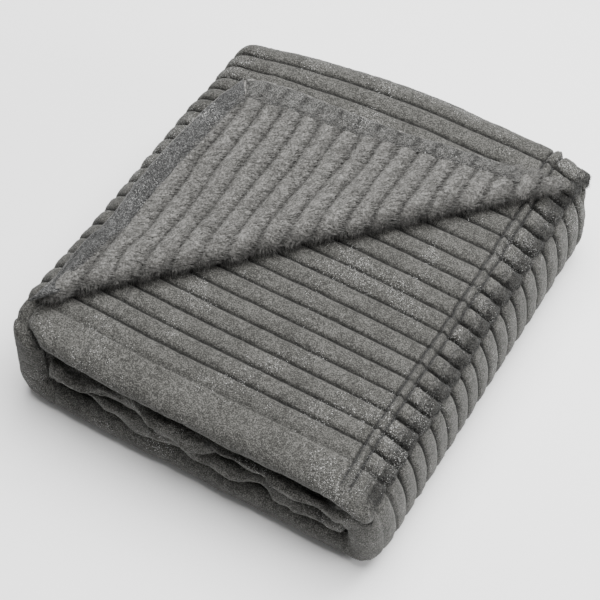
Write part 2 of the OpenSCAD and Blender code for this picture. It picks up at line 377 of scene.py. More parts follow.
def ribbon(name, runs, ds, line, s_fix=None, end0=False, end1=False, face=True, back_ribs=True, rib_gain=None, thk=THK, extra=None, mats=(), face_side=1, x_shift=None):
    """A ply as a closed ribbon: line(s) gives u, y, v arrays for each s, offset to both sides."""
    O, I, t = runs(ds)
    if runs is run_top:                                  # close steps across the hem and its seam
        tn = np.concatenate([np.arange(0, 48, 0.95), np.arange(48, t[-1] - 2, 3.5), [t[-1]]])
        O = np.stack([np.interp(tn, t, O[:, q]) for q in (0, 1)], 1)
        I = np.stack([np.interp(tn, t, I[:, q]) for q in (0, 1)], 1)
        t = tn
    S = RUN[runs][0] + t / t[-1] * (RUN[runs][1] - RUN[runs][0])
    hf = np.ones(len(S))
    adv = np.zeros(len(S))
    # rounded free ends
    def rounded(O, I, S, hf, at_end):
        k = 6
        o0, o1 = (O[-1], O[-2]) if at_end else (O[0], O[1])
        i0, i1 = (I[-1], I[-2]) if at_end else (I[0], I[1])
        do = (o0 - o1) / np.linalg.norm(o0 - o1)
        ph = np.linspace(0, math.pi / 2, k + 1)[1:]
        addO = [o0 + do * (thk * 0.5 * math.sin(p)) for p in ph]
        addI = [i0 + do * (thk * 0.5 * math.sin(p)) for p in ph]
        addS = [S[-1] + thk * .5 * math.sin(p) if at_end else S[0] - thk * .5 * math.sin(p) for p in ph]
        addh = [max(math.cos(p), 0.04) for p in ph]
        if at_end:
            return np.vstack([O, addO]), np.vstack([I, addI]), np.concatenate([S, addS]), np.concatenate([hf, addh])
        return np.vstack([addO[::-1], O]), np.vstack([addI[::-1], I]), np.concatenate([addS[::-1], S]), np.concatenate([addh[::-1], hf])
    if end0:
        O, I, S, hf = rounded(O, I, S, hf, False)
    if end1:
        O, I, S, hf = rounded(O, I, S, hf, True)
    n = len(S)
    U, Y, V = line(S)                                   # each (n, m)
    m = U.shape[1]
    dY, dV = np.gradient(Y, axis=1), np.gradient(V, axis=1)
    ln = np.hypot(dY, dV) + 1e-9
    NY, NV = dV / ln, -dY / ln                          # for +y travel points to the outer face
    gain = 1.0 if rib_gain is None else rib_gain(S[:, None], U, Y)
    Sb = np.broadcast_to(S[:, None], U.shape)
    rh = rib_h(U) * gain
    soft = 0.45 * vnoise(Sb / 14, U / 9, 0, 3) + 0.3 * vnoise(Sb / 5.5, U / 5, 0, 4) + 0.16 * vnoise(Sb / 2.6, U / 2.6, 0, 5)
    soft2 = 0.45 * vnoise(Sb / 14, U / 9, 7, 3) + 0.3 * vnoise(Sb / 5.5, U / 5, 9, 4)
    half = thk / 2
    h1 = (half + rh + soft) * hf[:, None]
    h2 = (half + (rh * 0.8 if back_ribs else 0) + soft2) * hf[:, None]
    # end rounding along u
    al = np.concatenate([np.zeros((n, 1)), np.cumsum(np.hypot(np.diff(Y, axis=1), np.diff(V, axis=1)), axis=1)], 1)
    eu = np.minimum(al, al[:, -1:] - al)
    er = np.sqrt(np.clip(1 - (1 - np.clip(eu / (half), 0, 1)) ** 2, 0.003, 1))
    h1, h2 = h1 * er, h2 * er
    shade = 1.0
    if extra is not None:
        e1, e2, shade = extra(Sb, U, Y)
        h1 = h1 + e1 * er * hf[:, None]
        h2 = h2 + e2 * er * hf[:, None]
    rings = []
    for sgn, h in ((1, h1), (-1, h2)):
        y = Y + sgn * NY * h
        v = V + sgn * NV * h
        P = place(S, O, I, y, v, x_shift)
        rings.append(P)
    A, B = rings
    RINGS[name] = (A, B, U, Y, Sb)
    verts = np.concatenate([A.reshape(-1, 3), B.reshape(-1, 3)])
    idx = np.arange(n * m).reshape(n, m)
    q = lambda a, b, c, d: np.stack([a.ravel(), b.ravel(), c.ravel(), d.ravel()], 1)
    fA = q(idx[:-1, :-1], idx[:-1, 1:], idx[1:, 1:], idx[1:, :-1])
    jdx = idx + n * m
    fB = q(jdx[:-1, :-1], jdx[1:, :-1], jdx[1:, 1:], jdx[:-1, 1:])
    e0 = q(idx[0, :-1], jdx[0, :-1], jdx[0, 1:], idx[0, 1:])
    e1 = q(idx[-1, 1:], jdx[-1, 1:], jdx[-1, :-1], idx[-1, :-1])
    c0 = q(idx[:-1, 0], idx[1:, 0], jdx[1:, 0], jdx[:-1, 0])
    c1 = q(idx[1:, -1], idx[:-1, -1], jdx[:-1, -1], jdx[1:, -1])
    faces = np.concatenate([fA, fB, e0, e1, c0, c1])
    mi = np.zeros(len(faces), int)
    if len(mats) > 1:
        side_b = slice(len(fA), len(fA) + len(fB))
        if face_side == 1:
            mi[side_b] = 1
        else:
            mi[:len(fA)] = 1
    # rib attribute: painted shade, lower in the grooves between ribs, times the painted shade that extra gives
    g0 = np.clip(1 + rib_h(U) * gain / 2.6, 0, 1) * shade
    GROOVE[name] = g0
    ob = make(name, verts, faces, {"rib": np.concatenate([g0.ravel(), g0.ravel()])}, mats, mi)
    # which way round the faces are
    me = ob.data
    me.calc_loop_triangles()
    vol = sum_volume(me)
    vol_sign[name] = vol
    if vol < 0:
        me.flip_normals()
    area = float(np.linalg.norm(np.cross(P_d(A, 0), P_d(A, 1)), axis=-1).sum()) * 1e-6
    # the cloth's own flat size: its run measured at the ply's own depth, no ribs or pile
    C = np.stack([O[:, q][:, None] + (I[:, q] - O[:, q])[:, None] * (V / T) for q in (0, 1)], -1)
    col = np.linalg.norm(np.diff(C, axis=0), axis=-1).sum(0)
    dU = np.abs(np.diff(U, axis=1)).mean(0)
    ob["run_len"] = float((0.5 * (col[1:] + col[:-1]) * dU).sum() / dU.sum()) * 0.001
    wU = np.abs(U[:, -1] - U[:, 0])                     # weighed by the length of each step along the run
    ob["u_len"] = float((0.5 * (wU[1:] + wU[:-1]) * np.abs(np.diff(S))).sum() / np.abs(np.diff(S)).sum()) * 0.001
    return ob


vol_sign = {}
GROOVE = {}
# run position on the right fold 97 mm up, just below the top third's hem edge: middle of the painted shadow band there
_O, _, _t = run_wrap(1.0)
_on = (_O[:, 0] > 168) & (_O[:, 1] > 70)
S_RUB = LEN["wrap"][0] + float(np.interp(97.0, _O[_on, 1], _t[_on]))


def P_d(A, ax):
    d = np.diff(A, axis=ax)
    return d[:, :-1] if ax == 0 else d[:-1]


def sum_volume(me):
    n = len(me.vertices)
    co = np.empty(n * 3, np.float32); me.vertices.foreach_get("co", co); co = co.reshape(-1, 3).astype(float)
    tri = np.empty(len(me.loop_triangles) * 3, np.int32); me.loop_triangles.foreach_get("vertices", tri); tri = tri.reshape(-1, 3)
    a, b, c = co[tri[:, 0]], co[tri[:, 1]], co[tri[:, 2]]
    return float(np.einsum("ij,ij->i", a, np.cross(b, c)).sum() / 6)


def place(S, O, I, y, v, x_shift=None):
    """(run, depth, y) to x, y, z, with the slack of soft cloth added as one smooth field."""
    s = np.broadcast_to(S[:, None], y.shape)
    inner = sstep(s, S_INNER - 30, S_INNER + 40)              # the inner third is looser
    front = sstep(-y, -(YF + 85), -(YF + 6))
    back = sstep(y, YB - 60, YB)
    k = v / PLY
    amp_v = front * (1.0 + 4.6 * inner) + 0.8 * back + 0.7
    dv = amp_v * (vnoise(s / 62, k / 3.5, y / 70, 11) + 0.45 * vnoise(s / 27, k / 2.5, y / 50, 12))
    dv = dv * np.where(k < 2, sstep(k, -0.5, 1.5) * 0.65 + 0.35, 1) * (0.35 + 0.65 * inner + 0.3 * front * (1 - inner))
    dy = front * (1.2 + 6.0 * inner) * (vnoise(s / 48, k / 1.6, 0, 13) + 0.5 * vnoise(s / 19, k / 1.3, 0, 14)) + 1.2 * back * vnoise(s / 60, k / 2, 3, 15)
    dyw = 1.3 * vnoise(s / 110, 0, y / 120, 16)                # ribs wander a little
    w = (v + dv) / T
    ox, oz = O[:, :1], O[:, 1:]
    ixx, iz = I[:, :1], I[:, 1:]
    X = ox + (ixx - ox) * w
    Z = oz + (iz - oz) * w
    Yy = y + dy + dyw
    if x_shift is not None:
        X = X + x_shift(s, y)
    X, Yy = warp(X, Yy)
    Z = np.maximum(Z, 0.15)
    return np.stack([X, Yy, Z], -1)


def warp(X, Y):
    """The stack isn't a true rectangle: its back edge bows and its left edge leans."""
    gx = np.interp(Y, [-200, -170, -150, -110, -57, -8, 45, 82, 119, 160], [0, -2, -4, 0, 3.5, 6, 8, 9, 13, 14])
    gy = np.interp(X, [-190, -150, -120, -86, -35, 32, 94, 150, 190], [-18, -15, -8, -3, 5, 11, 11, 10, 8])
    return X + gx * (1 - sstep(X, -175, -70)), Y + gy * sstep(Y, 60, 185)


# ------------------------------------------------------------------ ply lines
def const(S, u, y, v):
    n = len(S)
    return tuple(np.broadcast_to(a[None, :], (n, len(a))).copy() if a.ndim == 1 else a for a in (u, y, v))


def cover_line(S, k0, k1, yf, ry=15.0, curl=162.0, dense=True):
    """From the hem at depth k1, round the front end, then straight back along depth k0."""
    S = np.asarray(S, float)
    col = lambda q: np.broadcast_to(np.asarray(q, float), S.shape)[:, None]
    k1, yf, ry = col(k1), col(yf), col(ry)
    n = len(S)
    v0 = (k0 + 0.5) * PLY
    v1 = np.maximum((k1 - 0.1) * PLY, v0 + 2)
    rv = (v1 - v0) / 2
    ph = np.radians(np.linspace(curl, 0, 23))[None, :]
    ya = yf + THK / 2 + ry * (1 - np.sin(ph) ** 0.9)
    va = v0 + rv * (1 - np.cos(ph))
    y_s = yf + THK / 2 + ry
    u1 = rib_u(YF + 38, YBK, dense)[None, :]
    us = y_s + (np.maximum(YF + 38, y_s) - y_s) * np.linspace(0, 1, 9)[None, 1:-1]
    y1 = np.maximum(u1, y_s + 0.5 + 0.02 * np.arange(u1.shape[1])[None, :])
    Y = np.concatenate([ya, us + 0.01, y1], 1)
    V = np.concatenate([va, np.full_like(us, v0), np.full_like(y1, v0)], 1)
    seg = np.hypot(np.diff(ya, axis=1), np.diff(va, axis=1))
    ua = y_s - np.concatenate([np.cumsum(seg[:, ::-1], axis=1)[:, ::-1], np.zeros((n, 1))], 1)
    U = np.concatenate([ua, us + 0.01, y1], 1)
    return U, Y, V


def back_loop(kc, kr, ry, u0, na=20, y0=YBK):
    """Half loop at the back from depth kc - kr to kc + kr."""
    ph = np.linspace(0, math.pi, na)[1:]
    y = y0 + ry * np.sin(ph)
    v = (kc - kr * np.cos(ph)) * PLY
    d = np.concatenate([[0], np.cumsum(np.hypot(np.diff(np.concatenate([[y0], y])), np.diff(np.concatenate([[(kc - kr) * PLY], v]))))])[1:]
    return u0 + d, y, v


def add_cols(S, trio, u, y, v):
    n = len(S)
    return tuple(np.concatenate([a, np.broadcast_to(b[None], (n, len(b)))], 1) for a, b in zip(trio, (u, y, v)))


def diag(x):
    return DS * x + DY


def line_a(runs, ds, tail=26.0):
    """Face ply: hem and front end, the long run, the outer back loop and the start of the fourth ply."""
    def f(S):
        O, _, t = runs(ds)
        s0, s1 = RUN[runs]
        xx = np.interp(S, s0 + t / t[-1] * (s1 - s0), O[:, 0])
        zz = np.interp(S, s0 + t / t[-1] * (s1 - s0), O[:, 1])
        k1 = 3.5 - 1.7 * sstep(S, S_INNER - 40, S_INNER + 30)
        yf = YF + 0.6 + 0 * S
        ry = 15.0 - 8.5 * sstep(S, S_INNER - 40, S_INNER + 30)
        if runs in (run_top, run_up):
            tau = 1 - sstep(S, LEN["up"][0], LEN["up"][1]) if runs is run_top else sstep(ZFACE - zz, 1.2, 24) * (S > LEN["up"][0] + 20)
            if runs is run_top:
                tau = 0 * S
            yd = np.minimum(diag(xx) + 15.0, YBK - 12.0)
            yf = yd + (YF + 0.6 - yd) * tau
            k1 = 1.0 + (k1 - 1.0) * tau
            ry = 1.5 + 13.5 * tau
        base = cover_line(S, 0, k1, yf, ry)
        u2, y2, v2 = back_loop(2.0, 1.5, BACK_R - THK / 2 + 0.4, YBK, 30)
        u3 = np.linspace(u2[-1] + 6, u2[-1] + tail, 4)
        base = add_cols(S, base, u2, y2, v2)
        return add_cols(S, base, u3, YBK - (u3 - u2[-1]), np.full(4, 3.5 * PLY))
    return f


def line_b(kind):
    """Second ply: front hem, the long run and the inner back loop."""
    def f(S):
        w = 1 - sstep(S, LEN["up"][0] + 30, LEN["up"][0] + 75)          # 1 on the top third
        inner = sstep(S, S_INNER - 40, S_INNER + 30)
        k1 = 1.75 + 1.2 * w + 0.5 * inner
        yf = YF + 13.5 - 12.9 * w - 8.0 * inner
        ry = 3.0 + 13.0 * w + 3 * inner
        base = cover_line(S, 1, k1, yf, ry)
        u2, y2, v2 = back_loop(2.0, 0.5, 5.5, YBK, 12)
        return add_cols(S, base, u2, y2, v2)
    return f


def line_dc(tail=30.0):
    """Fourth ply from behind, round the front loop and back along the third ply."""
    def f(S):
        n = len(S)
        top = 1 - sstep(S, LEN["up"][0] + 20, LEN["up"][0] + 70)
        inner = sstep(S, S_INNER - 40, S_INNER + 30)
        yf = (YF + 13.0 - 6.0 * top - 9.5 * inner)[:, None]
        lip = (3.0 * top + 2.5 * inner)[:, None]
        ry = 7.5
        y_end = YBK - tail
        yl = yf + THK / 2 + ry
        ud = rib_u(YF + 36, y_end)[::-1]
        uc = rib_u(YF + 36, y_end, False)
        d_mid = (YF + 36) + (yl - lip - (YF + 36)) * np.linspace(0, 1, 8)[None, 1:]
        ph = np.linspace(0, math.pi, 17)[None, 1:]
        la = yl - ry * np.sin(ph) - lip * (1 + np.cos(ph)) / 2
        lv = (3.0 + 0.5 * np.cos(ph)) * PLY + 0 * la
        c_mid = yl + (YF + 36 - yl) * np.linspace(0, 1, 8)[None, 1:-1]
        bc = lambda a: np.broadcast_to(a[None], (n, len(a)))
        Y = np.concatenate([bc(ud), d_mid, la, c_mid, bc(uc)], 1)
        V = np.concatenate([np.full((n, len(ud)), 3.5 * PLY), np.full(d_mid.shape, 3.5 * PLY), lv,
                            np.full(c_mid.shape, 2.5 * PLY), np.full((n, len(uc)), 2.5 * PLY)], 1)
        seg = np.hypot(np.diff(Y, axis=1), np.diff(V, axis=1))
        U = np.concatenate([np.zeros((n, 1)), np.cumsum(seg, axis=1)], 1)
        return y_end - U, Y, V                           # ribs keep to y along the fourth ply
    return f


def gain_front(lo=28.0, k=1.0):
    def g(S, U, Y):
        return k * sstep(Y, YF + lo - 14, YF + lo + 16)
    return g


def gain_a(S, U, Y):
    wall = sstep(S, S_WALL[0] - 40, S_WALL[0] + 20) * (1 - sstep(S, S_WALL[1] - 20, S_WALL[1] + 40))
    right = sstep(S, S_RIGHT - 70, S_RIGHT - 20) * (1 - sstep(S, S_RIGHT + 60, S_RIGHT + 110))
    g = sstep(Y, YF + 4, YF + 32)
    return g * (1 + 0.35 * wall + 0.2 * right)


def gain_b(S, U, Y):
    g = sstep(Y, YF + 16, YF + 46)
    hem = sstep(-S, -(LEN["top"][0] + 26), -(LEN["top"][0] + 16))
    return g * (1 + 0.5 * hem)


def gain_dc(S, U, Y):
    return 0.75 * sstep(Y, YF + 10, YF + 40)


SEAM_S = LEN["top"][0] + (XTOP - 145.0)


def seam_b(S, U, Y):
    """The side hem: a raised welt between two stitch lines, then a puff of cloth at the end of each rib; its shade is
    painted: dark stitch grooves, darker dips between the puffs and a painted shadow along the hem's edge.
    """
    d = S - (SEAM_S + 1.5 * vnoise(Y / 60, 0, 0, 31) + 0.5 * vnoise(Y / 9, 0, 0, 32))
    lobes = 0.8 + 0.2 * np.cos(Y / 5.2 * 2 * math.pi)
    welt = 3.1 * lobes * np.exp(-(d / 2.3) ** 2)
    cut1, cut2 = np.exp(-((d - 4.3) / 1.5) ** 2), np.exp(-((d + 4.3) / 1.6) ** 2)
    rh = rib_h(U)
    flat = np.exp(-(d / 4.5) ** 2) * (-rh) * 0.75        # the welt runs level over the grooves
    strip = sstep(-d, 4, 8)
    fringe = np.exp(-((d + 17.5) / 2.2) ** 2)
    edge = sstep(-d, 18.5, 21.5)
    dd = np.abs((U - Y0) / PITCH - np.round((U - Y0) / PITCH)) * 2      # 0 groove .. 1 crest
    puff = strip * (2.8 * np.sqrt(np.sin(np.clip((-d - 4) / 13.5, 0, 1) * math.pi)) * np.sqrt(dd) - 0.4)
    drop = edge * (-2.0 + 2.4 * np.sqrt(dd)) - fringe * 1.2
    rough = edge * 1.5 * vnoise(S / 2.2, Y / 1.5, 0, 34)
    # painted shade: the stitch grooves and the dips between puffs are darkened, and the hem's edge gets a painted
    # shadow
    shade = (1 - 0.95 * cut1) * (1 - 0.95 * cut2) * (1 - 0.74 * edge) * (1 - 0.35 * strip * (1 - dd))
    on = sstep(Y, YF + 6, YF + 20)
    return (welt - 2.8 * cut1 - 3.0 * cut2 + flat + puff + drop + rough) * on, 0 * S, 1 + (shade - 1) * on


def seam_a(S, U, Y):
    e1, e2, sh = seam_b(S, U, Y)
    w = sstep(-S, -(SEAM_S - 14), -(SEAM_S - 16))
    # towards the hem edge the face ply gets a flat lift and keeps only a fifth of the painted shade
    return e1 * (1 - w) + 0.8 * w, e2, sh + (1 - sh) * w * 0.8


def crumple(S, U, Y):
    """The inner third's front is bunched into small folds, with painted shade in their hollows and a painted shadow
    band under the top third's hem edge.
    """
    w = sstep(S, S_INNER - 45, S_INNER + 15) * sstep(-Y, -(YF + 48), -(YF + 18))
    r = np.abs(vnoise(S / 52, U / 6.0 + 0.6 * vnoise(S / 40, 0, 0, 94), 0, 91)) + 0.45 * np.abs(vnoise(S / 17, U / 4.2, 0, 92))
    e = w * (6.4 * r - 1.9)
    # painted shadow: a ragged dark band on the right fold just below the top third's hem edge, where the hem shades it
    rub = np.exp(-((S - S_RUB) / 7.5) ** 2) * sstep(vnoise(S / 3, Y / 5, 0, 93) + rib_h(U) / 2.6 + 0.75, 0.1, 0.8) * (U == Y)
    # the third value is painted shade: darker in the fold hollows (small r) and in the painted shadow band
    return e, 0.4 * e, (1 - w * np.clip(1.0 - 3.0 * r, 0, 0.9)) * (1 - 0.62 * rub)


def hem_edge(s, y):
    """The side hem's free edge bulges at each rib and draws in at each groove."""
    d = np.abs((y - Y0) / PITCH - np.round((y - Y0) / PITCH)) * 2
    w = sstep(-s, -(LEN["top"][0] + 10), -(LEN["top"][0] - 4))
    return w * (3.4 * np.sqrt(np.clip(d, 0, 1)) - 3.0 + 1.2 * vnoise(y / 9, 0, 0, 33))


def tip_edge(s, y):
    """The face ply's hem sticks out past the others at the back corner."""
    w = sstep(-s, -(LEN["top"][0] + 40), -(LEN["top"][0] - 2))
    return hem_edge(s, y) + w * (2.0 + 2.0 * sstep(y, 168, 192))


# ------------------------------------------------------------------ materials
def node(nt, kind, **kw):
    n = nt.nodes.new(kind)
    for k, v in kw.items():
        if k in n.inputs:
            n.inputs[k].default_value = v
        else:
            setattr(n, k, v)
    return n


def plush(name, dark, mid, light, streak=(1, 1, 1), sparkle=0.5, groove=0.45, fine=900.0, bump=0.35, sheen=0.5, long_pile=False):
    m = bpy.data.materials.new(name)
    m.use_nodes = True
    nt = m.node_tree
    nt.nodes.clear()
    L = nt.links.new
    out = node(nt, "ShaderNodeOutputMaterial")
    bs = node(nt, "ShaderNodeBsdfPrincipled")
    L(bs.outputs[0], out.inputs[0])
    bs.inputs["Sheen Weight"].default_value = sheen
    bs.inputs["Sheen Roughness"].default_value = 0.45
    bs.inputs["Sheen Tint"].default_value = (0.85, 0.86, 0.84, 1)
    bs.inputs["Specular IOR Level"].default_value = 0.25
    tc = node(nt, "ShaderNodeTexCoord")
    mp = node(nt, "ShaderNodeMapping")
    mp.inputs["Scale"].default_value = streak
    L(tc.outputs["Object"], mp.inputs[0])
    # pile: clumps, streaks and fibres
    n1 = node(nt, "ShaderNodeTexNoise", Scale=38.0, Detail=4.0, Roughness=0.6)
    n2 = node(nt, "ShaderNodeTexNoise", Scale=fine * 0.28, Detail=3.0, Roughness=0.65)
    n3 = node(nt, "ShaderNodeTexNoise", Scale=fine, Detail=2.0, Roughness=0.7)
    for n in (n1, n2, n3):
        L(mp.outputs[0], n.inputs["Vector"])
    L(tc.outputs["Object"], n1.inputs["Vector"])
    mx = node(nt, "ShaderNodeMath", operation="MULTIPLY"); L(n2.outputs[0], mx.inputs[0]); mx.inputs[1].default_value = 0.26
    ma = node(nt, "ShaderNodeMath", operation="MULTIPLY_ADD"); L(n3.outputs[0], ma.inputs[0]); ma.inputs[1].default_value = 0.78; L(mx.outputs[0], ma.inputs[2])
    mb = node(nt, "ShaderNodeMath", operation="MULTIPLY_ADD"); L(n1.outputs[0], mb.inputs[0]); mb.inputs[1].default_value = 0.12; L(ma.outputs[0], mb.inputs[2])
    cr = node(nt, "ShaderNodeValToRGB")
    e = cr.color_ramp.elements
    e[0].position, e[0].color = 0.46, (*dark, 1)
    e[1].position, e[1].color = 0.70, (*light, 1)
    k = cr.color_ramp.elements.new(0.575); k.color = (*mid, 1)
    L(mb.outputs[0], cr.inputs[0])
    # painted shade: grooves between ribs are darker, from the rib attribute, which also carries the painted shade of
    # seams, folds and hem edges
    at = node(nt, "ShaderNodeAttribute", attribute_name="rib")
    gr = node(nt, "ShaderNodeMapRange"); L(at.outputs["Fac"], gr.inputs[0])
    gr.inputs["From Min"].default_value = 0.0; gr.inputs["From Max"].default_value = 0.75
    gr.inputs["To Min"].default_value = 1 - groove; gr.inputs["To Max"].default_value = 1.0
    gm = node(nt, "ShaderNodeMix", data_type="RGBA", blend_type="MULTIPLY"); gm.inputs[0].default_value = 1.0
    L(cr.outputs[0], gm.inputs[6]); L(gr.outputs[0], gm.inputs[7])
    # painted highlights: single glinting fibre tips, in patches, lighter in colour and smoother
    vo = node(nt, "ShaderNodeTexVoronoi", Scale=1500.0); L(tc.outputs["Object"], vo.inputs["Vector"])
    sp = node(nt, "ShaderNodeSeparateColor"); L(vo.outputs["Color"], sp.inputs[0])
    n4 = node(nt, "ShaderNodeTexNoise", Scale=22.0, Detail=3.0, Roughness=0.6); L(tc.outputs["Object"], n4.inputs["Vector"])
    th = node(nt, "ShaderNodeMapRange"); L(n4.outputs[0], th.inputs[0])
    th.inputs["From Min"].default_value = 0.53; th.inputs["From Max"].default_value = 0.70
    th.inputs["To Min"].default_value = 1.0; th.inputs["To Max"].default_value = 1.0 - 0.40 * sparkle
    gt = node(nt, "ShaderNodeMath", operation="GREATER_THAN"); L(sp.outputs[0], gt.inputs[0]); L(th.outputs[0], gt.inputs[1])
    dd = node(nt, "ShaderNodeMath", operation="LESS_THAN"); L(vo.outputs["Distance"], dd.inputs[0]); dd.inputs[1].default_value = 0.42
    sg = node(nt, "ShaderNodeMath", operation="MULTIPLY"); L(gt.outputs[0], sg.inputs[0]); L(dd.outputs[0], sg.inputs[1])
    sc = node(nt, "ShaderNodeMath", operation="MULTIPLY"); L(sg.outputs[0], sc.inputs[0]); L(sp.outputs[1], sc.inputs[1])
    sm = node(nt, "ShaderNodeMix", data_type="RGBA", blend_type="MIX")
    L(sc.outputs[0], sm.inputs[0]); L(gm.outputs[2], sm.inputs[6]); sm.inputs[7].default_value = (0.60, 0.60, 0.59, 1)
    L(sm.outputs[2], bs.inputs["Base Color"])
    ro = node(nt, "ShaderNodeMapRange"); L(sg.outputs[0], ro.inputs[0])
    ro.inputs["To Min"].default_value = 0.92; ro.inputs["To Max"].default_value = 0.42
    L(ro.outputs[0], bs.inputs["Roughness"])
    b1 = node(nt, "ShaderNodeBump"); b1.inputs["Strength"].default_value = bump; b1.inputs["Distance"].default_value = 0.0012
    L(ma.outputs[0], b1.inputs["Height"])
    b2 = node(nt, "ShaderNodeBump"); b2.inputs["Strength"].default_value = bump * 0.8; b2.inputs["Distance"].default_value = 0.0022
    L(n1.outputs[0], b2.inputs["Height"]); L(b1.outputs[0], b2.inputs["Normal"])
    L(b2.outputs[0], bs.inputs["Normal"])
    return m


FACE = plush("plush_face", (0.0180, 0.0177, 0.0160), (0.0445, 0.0438, 0.0402), (0.115, 0.113, 0.1055), sparkle=0.75, groove=0.82, bump=0.8, sheen=0.07)
BACK = plush("plush_back", (0.050, 0.0487, 0.0458), (0.100, 0.0975, 0.092), (0.175, 0.171, 0.163), sparkle=0.0, groove=0.70, fine=560.0, bump=0.5, sheen=0.10)
HEM = plush("hem_plush", (0.0145, 0.0143, 0.0136), (0.047, 0.0464, 0.044), (0.145, 0.144, 0.139), sparkle=0.9, groove=0.86, bump=0.9, sheen=0.07)
# front hem: darker hem plush with the strongest painted glints (sparkle)
SILVER = plush("hem_silver", (0.0105, 0.0105, 0.0104), (0.029, 0.0291, 0.0288), (0.108, 0.1082, 0.1075), sparkle=1.2, groove=0.4, bump=0.9, sheen=0.06)
THREAD = plush("thread", (0.012, 0.012, 0.012), (0.028, 0.028, 0.028), (0.06, 0.06, 0.06), sparkle=0.1, groove=0.0, fine=1500.0, bump=0.2, sheen=0.03)


# ------------------------------------------------------------------ pile
def grid_normals(A):
    n = np.cross(np.gradient(A, axis=0), np.gradient(A, axis=1))
    return n / (np.linalg.norm(n, axis=-1, keepdims=True) + 1e-9)


def fibres(name, A, count, length, r, lean, mat, seed, keep=None, up=0.6, rib=None, stray=0.22, swirl=0.55, tone=0.12):
    """Single fibres of the pile standing on a surface: each is a closed three-sided spike."""
    rng = np.random.default_rng(seed)
    NV = grid_normals(A)
    d0 = A[1:, :-1] - A[:-1, :-1]; d1 = A[:-1, 1:] - A[:-1, :-1]
    area = np.linalg.norm(np.cross(d0, d1), axis=-1)
    if keep is not None:
        area = area * keep[:-1, :-1]
    pr = (area / area.sum()).ravel()
    pick = rng.choice(pr.size, count, p=pr)
    i, j = np.divmod(pick, area.shape[1])
    u, v = rng.random(count)[:, None], rng.random(count)[:, None]
    P = A[i, j] * (1 - u) * (1 - v) + A[i + 1, j] * u * (1 - v) + A[i, j + 1] * (1 - u) * v + A[i + 1, j + 1] * u * v
    N = NV[i, j]
    ln = length * (0.6 + 0.8 * rng.random(count))[:, None]
    le = np.broadcast_to(np.asarray(lean, float), (count, 3))
    sw = np.stack([vnoise(P[:, 0] / 14, P[:, 1] / 14, P[:, 2] / 14, seed + 5), vnoise(P[:, 0] / 14, P[:, 1] / 14, P[:, 2] / 14, seed + 6), 0 * P[:, 0]], 1)
    dirn = N * up + le + sw * swirl + rng.normal(0, stray, (count, 3))
    dirn -= N * np.minimum((dirn * N).sum(1, keepdims=True) - 0.12, 0)
    dirn /= np.linalg.norm(dirn, axis=1, keepdims=True)
    a = np.cross(dirn, rng.normal(0, 1, (count, 3))); a /= np.linalg.norm(a, axis=1, keepdims=True) + 1e-9
    b = np.cross(dirn, a)
    base = P - N * 0.35
    ring = [base + r * (a * math.cos(t) + b * math.sin(t)) for t in (0, 2.0944, 4.1888)]
    tip = base + dirn * ln
    verts = np.stack(ring + [tip], 1).reshape(-1, 3)
    verts[:, 2] = np.maximum(verts[:, 2], 0.1)           # none goes through the floor
    o = np.arange(count) * 4
    F = np.concatenate([np.stack(q, 1) for q in ((o, o + 2, o + 1), (o, o + 1, o + 3), (o + 1, o + 2, o + 3), (o + 2, o, o + 3))])
    # each fibre takes the rib value (painted groove shade) of the surface where it stands: 0.8 of it at the root,
    # raised by tone at the tip
    g = np.ones(count) if rib is None else rib[i, j]
    sh = np.clip(g[:, None] * np.array([0.8, 0.8, 0.8, 1.0]) + np.array([0, 0, 0, tone]), 0, 1).ravel()
    return make(name, verts, F, {"rib": sh}, (mat,), smooth=False)


RINGS = {}


# ------------------------------------------------------------------ plies
def declare(ob, rests, slotname="plush_face", with_=()):
    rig.slot(ob, slotname)
    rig.sheet(ob, flat=(ob["run_len"], ob["u_len"]), held="folded", rests_on=rests, with_pieces=list(with_), area=ob["run_len"] * ob["u_len"])


D1, D2 = 3.2, 3.6
made = {}
UPB = dict(start=((CL + 0.0) * .001, 0, ZM * .001), end=((XA - 3) * .001, 0, ZTOP * .001 + 0.0))


def up_blend(ob):
    # along (1, 0, 1): the wall's upper end is before it, the top third after it
    c = (CL + ZM) / 2
    e = (XA - 2 + ZTOP) / 2
    off = (CL - ZM) / 2
    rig.blend(ob, "left_fold", "top_third", start=((c + off) * .001, 0, (c - off) * .001), end=((e + off) * .001, 0, (e - off) * .001))


def low_blend(ob):
    m = 0.7
    p0, p1 = XB - T * m, CL - ZM * m
    d = np.array([1.0, -m]); d2 = float(d @ d)
    base = np.array([CL, T * 0.6])
    q0 = base + d * (p0 - base @ d) / d2
    q1 = base + d * (p1 - base @ d) / d2
    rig.blend(ob, "wrap", "left_fold", start=(q0[0] * .001, 0, q0[1] * .001), end=(q1[0] * .001, 0, q1[1] * .001))


